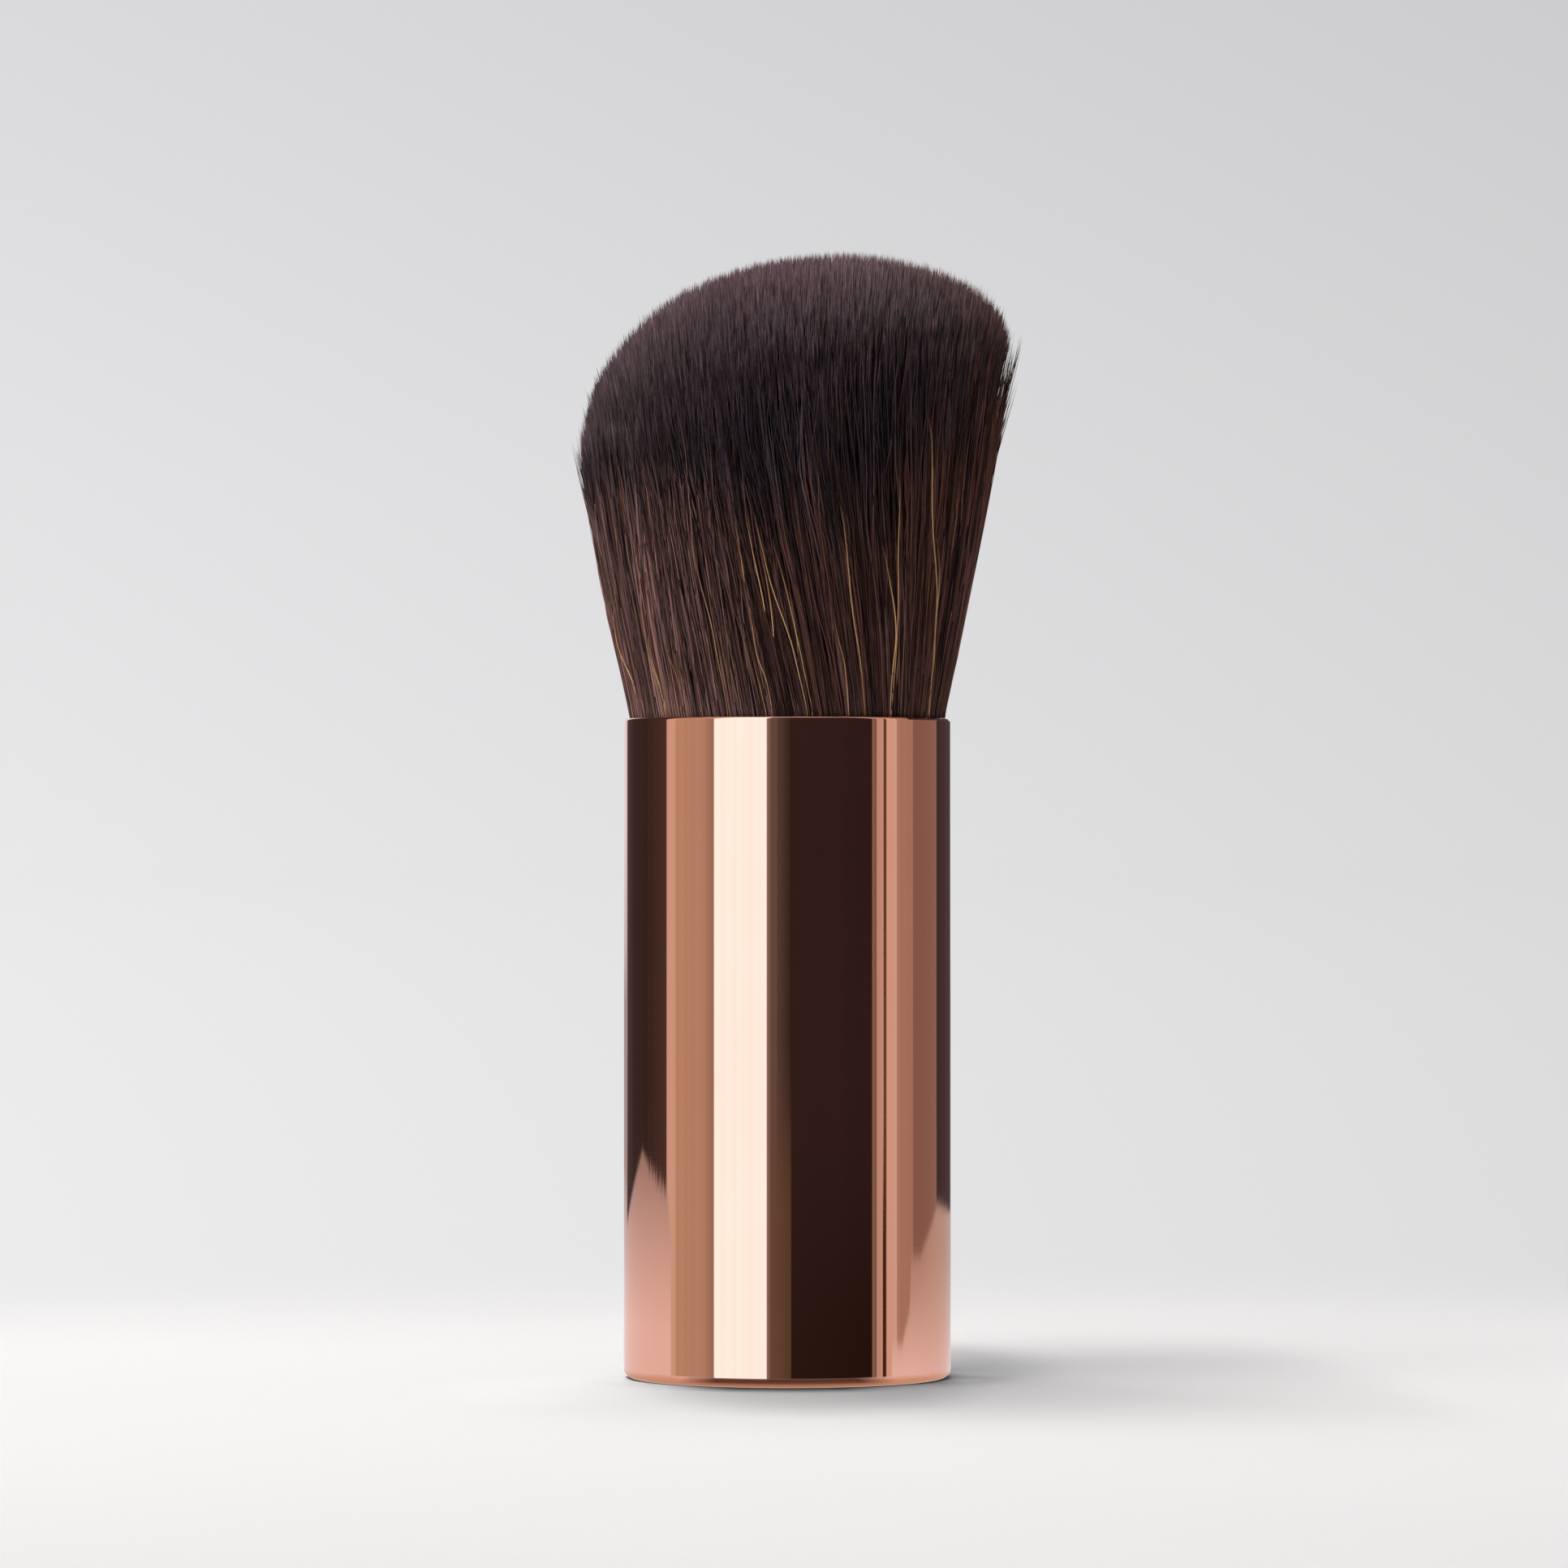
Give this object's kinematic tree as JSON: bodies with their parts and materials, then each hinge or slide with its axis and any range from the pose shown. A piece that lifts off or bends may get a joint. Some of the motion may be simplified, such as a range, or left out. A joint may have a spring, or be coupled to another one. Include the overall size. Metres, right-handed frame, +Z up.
{
  "type": "body brush",
  "caption": "Kabuki-style self-tan brush: straight mirror-polished rose-gold handle, closed at the bottom, with a dense flared dark-brown fibre tuft cut to a slanted dome.",
  "frame": {"origin": "centre of the handle's base face, on the handle's axis", "axes": "+Z up along the handle to the tuft, +X to the side on which the tuft is tall, -Y to the front"},
  "size_m": [0.045, 0.044, 0.1165],
  "materials": {
    "shell": "polished",
    "tape": "matte",
    "weight": "satin",
    "core": "matte",
    "ferrule": "satin",
    "resin": "gloss",
    "thread": "matte",
    "sealant": "satin",
    "fibre": "satin",
    "amber_fibre": "satin"
  },
  "bodies": {
    "root": {"handle_shell": "shell", "weight_tape": "tape", "base_weight": "weight", "core_body": "core", "core_lid": "core", "ferrule_cup": "ferrule", "root_resin": "resin", "binding_thread": "thread", "rim_seal_bead": "sealant", "bristle_tuft": "fibre", "amber_fibres": "amber_fibre"}
  },
  "joints": []
}
